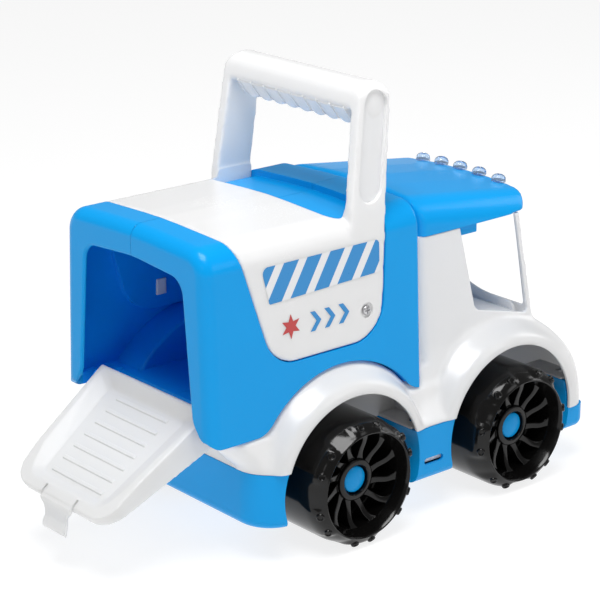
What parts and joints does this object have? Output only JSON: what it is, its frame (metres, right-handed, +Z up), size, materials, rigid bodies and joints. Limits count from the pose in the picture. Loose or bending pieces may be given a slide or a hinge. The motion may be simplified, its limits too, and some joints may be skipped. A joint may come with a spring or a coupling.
{
  "type": "toy truck",
  "caption": "Chunky plastic toy van truck with an open cab, a carrying handle over the roof, free-rolling wheels and a tailgate that lets down as a loading ramp.",
  "frame": {"origin": "ground level under the middle of the truck with its tailgate let down", "axes": "+X towards the cab's front, +Y to the truck's left, +Z up"},
  "size_m": [0.3658, 0.1954, 0.2751],
  "materials": {
    "blue_plastic": "glossy moulded bright blue",
    "white_plastic": "glossy moulded white",
    "black_plastic": "glossy moulded black",
    "steel": "plated steel",
    "clear_plastic": "clear, faintly blue"
  },
  "bodies": {
    "truck": {"chassis_base": "blue_plastic", "body_left": "blue_plastic", "body_right": "blue_plastic", "cab_roof": "blue_plastic", "axle_cap_front_left": "blue_plastic", "axle_cap_front_right": "blue_plastic", "axle_cap_rear_left": "blue_plastic", "axle_cap_rear_right": "blue_plastic", "cab_skirt": "white_plastic", "saddle_handle": "white_plastic", "front_axle": "steel", "rear_axle": "steel", "saddle_screw_left": "steel", "saddle_screw_right": "steel", "chassis_screw_1": "steel", "chassis_screw_2": "steel", "chassis_screw_3": "steel", "chassis_screw_4": "steel", "roof_light_1": "clear_plastic", "roof_light_2": "clear_plastic", "roof_light_3": "clear_plastic", "roof_light_4": "clear_plastic", "roof_light_5": "clear_plastic"},
    "tailgate": {"tailgate": "white_plastic"},
    "wheel_front_left": {"wheel_front_left": "black_plastic"},
    "wheel_front_right": {"wheel_front_right": "black_plastic"},
    "wheel_rear_left": {"wheel_rear_left": "black_plastic"},
    "wheel_rear_right": {"wheel_rear_right": "black_plastic"}
  },
  "joints": [
    {"name": "tailgate_hinge", "type": "hinge", "parent": "truck", "child": "tailgate", "pos_m": [-0.10605, 0, 0.0845], "axis": [0, 1, 0], "range_deg": [0, 116]},
    {"name": "wheel_front_left_roll", "type": "hinge", "parent": "truck", "child": "wheel_front_left", "pos_m": [0.11235, 0, 0.04], "axis": [0, 1, 0], "continuous": true},
    {"name": "wheel_front_right_roll", "type": "hinge", "parent": "truck", "child": "wheel_front_right", "pos_m": [0.11235, 0, 0.04], "axis": [0, 1, 0], "continuous": true},
    {"name": "wheel_rear_left_roll", "type": "hinge", "parent": "truck", "child": "wheel_rear_left", "pos_m": [-0.02205, 0, 0.04], "axis": [0, 1, 0], "continuous": true},
    {"name": "wheel_rear_right_roll", "type": "hinge", "parent": "truck", "child": "wheel_rear_right", "pos_m": [-0.02205, 0, 0.04], "axis": [0, 1, 0], "continuous": true}
  ]
}
